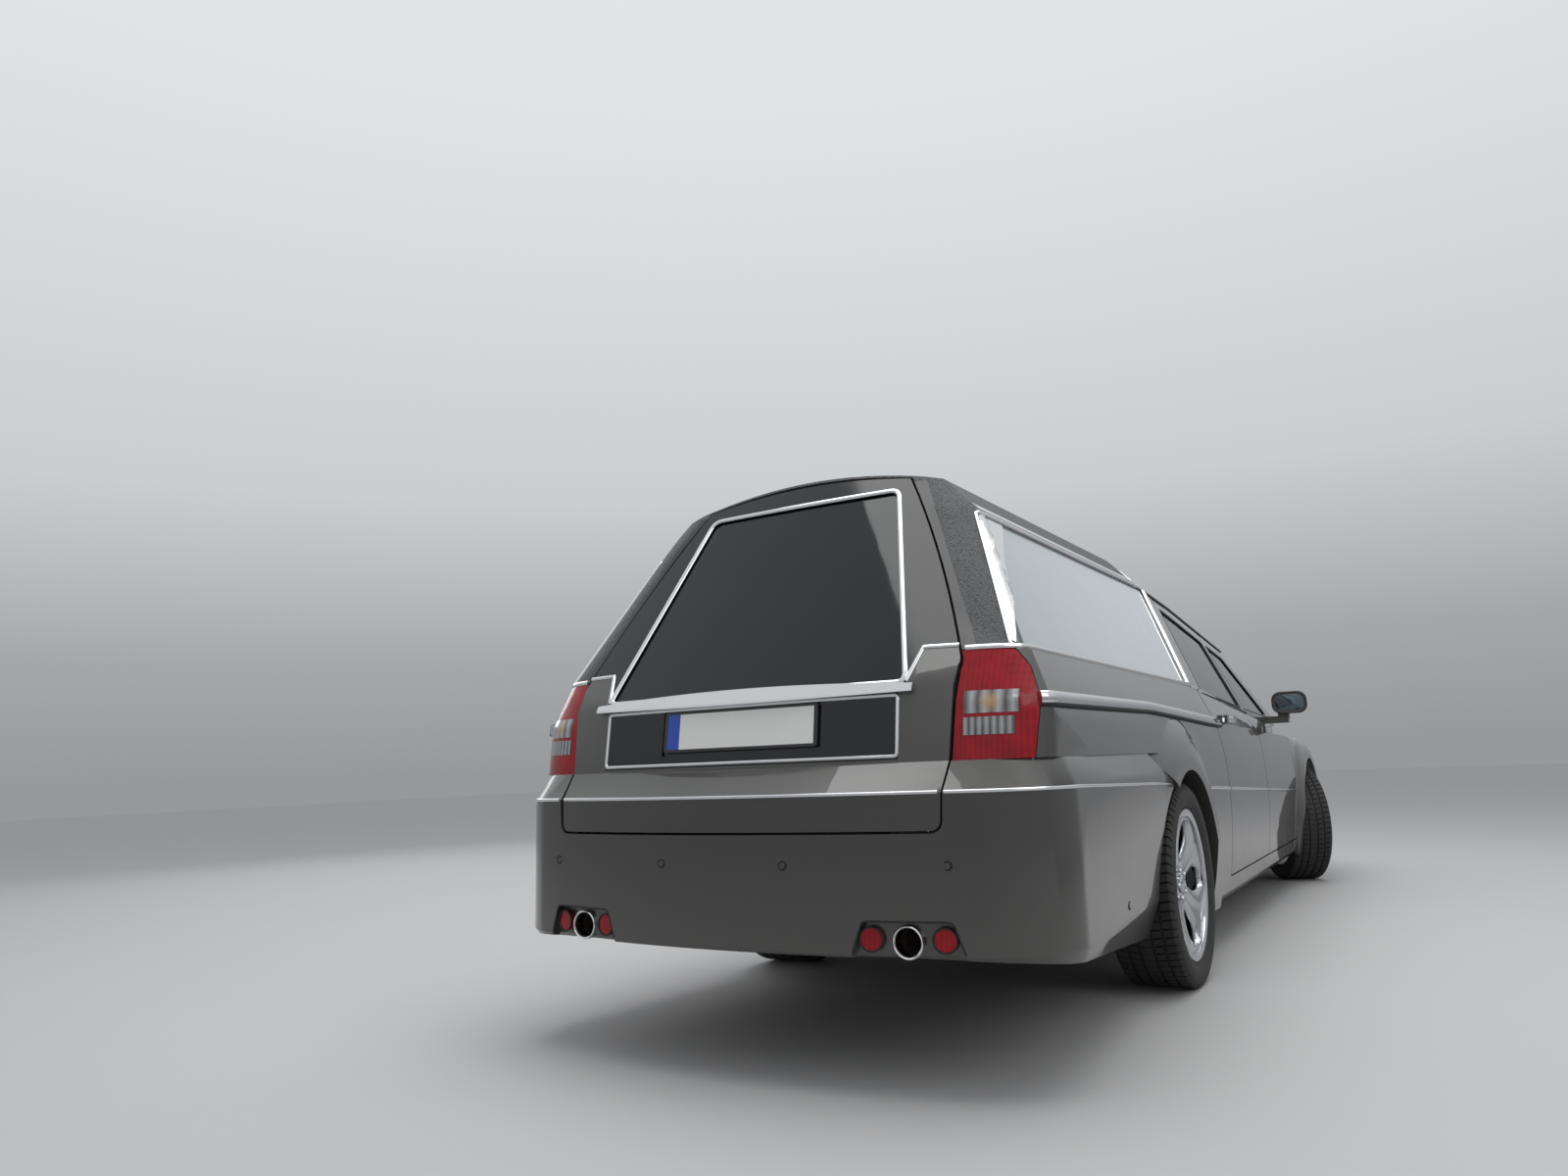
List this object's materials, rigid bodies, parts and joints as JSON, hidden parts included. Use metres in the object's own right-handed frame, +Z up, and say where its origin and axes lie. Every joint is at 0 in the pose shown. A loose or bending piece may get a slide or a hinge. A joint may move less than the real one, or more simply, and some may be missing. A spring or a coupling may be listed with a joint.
{
  "type": "hearse",
  "caption": "Long hearse with a raised vinyl-covered roof, glazed load bay, hinged doors, hood and tailgate, steered front wheels and free-rolling rear wheels.",
  "frame": {"origin": "on the ground below the middle of the overall length and width", "axes": "+X forward, +Y to the left, +Z up"},
  "size_m": [6.3098, 2.158, 1.805],
  "materials": {
    "body_paint": "metallic grey-brown clear coat",
    "vinyl_roof": "dark grey grained vinyl",
    "gate_gloss": "metallic grey-brown clear coat with gloss black upper part",
    "clear_glass": "clear glass",
    "tinted_glass": "dark tinted glass",
    "chrome": "polished chrome",
    "lamp_red": "red lamp lens",
    "lamp_clear": "clear lamp lens",
    "tyre_rubber": "matt black rubber",
    "wheel_chrome": "polished wheel",
    "chassis_black": "satin black underbody coating",
    "cast_grey": "cast metal",
    "exhaust_steel": "stainless steel",
    "trim_plastic": "black moulded plastic",
    "seat_leather": "dark leather",
    "deck_wood": "varnished dark wood",
    "plate_white": "blank plate",
    "grey_trim": "grey trim panel"
  },
  "bodies": {
    "body": {"underbody": "chassis_black", "body_side_left": "body_paint", "body_side_right": "body_paint", "roof": "vinyl_roof", "fenders": "body_paint", "front_bumper": "body_paint", "rear_bumper": "body_paint", "grille": "chrome", "headlamps": "lamp_clear", "rear_lamps": "lamp_red", "exhaust": "exhaust_steel", "fixed_glass": "clear_glass", "side_mouldings": "chrome", "partition": "grey_trim", "load_deck": "deck_wood", "seats": "seat_leather", "dashboard": "trim_plastic", "steering_wheel": "trim_plastic", "engine": "cast_grey", "front_subframe": "chassis_black", "rear_axle": "chassis_black"},
    "hood": {"hood": "body_paint"},
    "tailgate": {"tailgate": "gate_gloss", "tailgate_glass": "tinted_glass", "gate_bar": "chrome", "number_plate": "plate_white"},
    "door_front_left": {"door_front_left": "body_paint", "door_front_glass_left": "tinted_glass"},
    "door_rear_left": {"door_rear_left": "body_paint", "door_rear_glass_left": "tinted_glass"},
    "knuckle_left": {"knuckle_left": "cast_grey"},
    "wheel_front_left": {"rim_front_left": "wheel_chrome", "tyre_front_left": "tyre_rubber"},
    "wheel_rear_left": {"rim_rear_left": "wheel_chrome", "tyre_rear_left": "tyre_rubber"},
    "door_front_right": {"door_front_right": "body_paint", "door_front_glass_right": "tinted_glass"},
    "door_rear_right": {"door_rear_right": "body_paint", "door_rear_glass_right": "tinted_glass"},
    "knuckle_right": {"knuckle_right": "cast_grey"},
    "wheel_front_right": {"rim_front_right": "wheel_chrome", "tyre_front_right": "tyre_rubber"},
    "wheel_rear_right": {"rim_rear_right": "wheel_chrome", "tyre_rear_right": "tyre_rubber"}
  },
  "joints": [
    {"name": "door_front_left_hinge", "type": "hinge", "parent": "body", "child": "door_front_left", "pos_m": [1.723, 0.925, 0.65], "axis": [0, 0, -1], "range_deg": [0, 65]},
    {"name": "door_rear_left_hinge", "type": "hinge", "parent": "body", "child": "door_rear_left", "pos_m": [0.5895, 0.925, 0.65], "axis": [0, 0, -1], "range_deg": [0, 65]},
    {"name": "steer_left", "type": "hinge", "parent": "body", "child": "knuckle_left", "pos_m": [2.285, 0.7, 0.364], "axis": [0, 0, 1], "range_deg": [-62, 8]},
    {"name": "wheel_front_left_spin", "type": "hinge", "parent": "knuckle_left", "child": "wheel_front_left", "pos_m": [2.2396, 0.7891, 0.364], "axis": [-0.454, 0.891, 0], "continuous": true},
    {"name": "wheel_rear_left_spin", "type": "hinge", "parent": "body", "child": "wheel_rear_left", "pos_m": [-1.415, 0.8, 0.364], "axis": [0, 1, 0], "continuous": true},
    {"name": "door_front_right_hinge", "type": "hinge", "parent": "body", "child": "door_front_right", "pos_m": [1.723, -0.925, 0.65], "axis": [0, 0, 1], "range_deg": [0, 65]},
    {"name": "door_rear_right_hinge", "type": "hinge", "parent": "body", "child": "door_rear_right", "pos_m": [0.5895, -0.925, 0.65], "axis": [0, 0, 1], "range_deg": [0, 65]},
    {"name": "steer_right", "type": "hinge", "parent": "body", "child": "knuckle_right", "pos_m": [2.285, -0.7, 0.364], "axis": [0, 0, 1], "range_deg": [-62, 8]},
    {"name": "wheel_front_right_spin", "type": "hinge", "parent": "knuckle_right", "child": "wheel_front_right", "pos_m": [2.3304, -0.7891, 0.364], "axis": [-0.454, 0.891, 0], "continuous": true},
    {"name": "wheel_rear_right_spin", "type": "hinge", "parent": "body", "child": "wheel_rear_right", "pos_m": [-1.415, -0.8, 0.364], "axis": [0, 1, 0], "continuous": true},
    {"name": "hood_hinge", "type": "hinge", "parent": "body", "child": "hood", "pos_m": [2.045, 0, 1.016], "axis": [0, -1, 0], "range_deg": [0, 55]},
    {"name": "tailgate_hinge", "type": "hinge", "parent": "body", "child": "tailgate", "pos_m": [-2.56, 0, 1.802], "axis": [0, 1, 0], "range_deg": [0, 80]}
  ],
  "couplings": [
    {"joint": "steer_right", "follows": "steer_left", "ratio": 1}
  ]
}
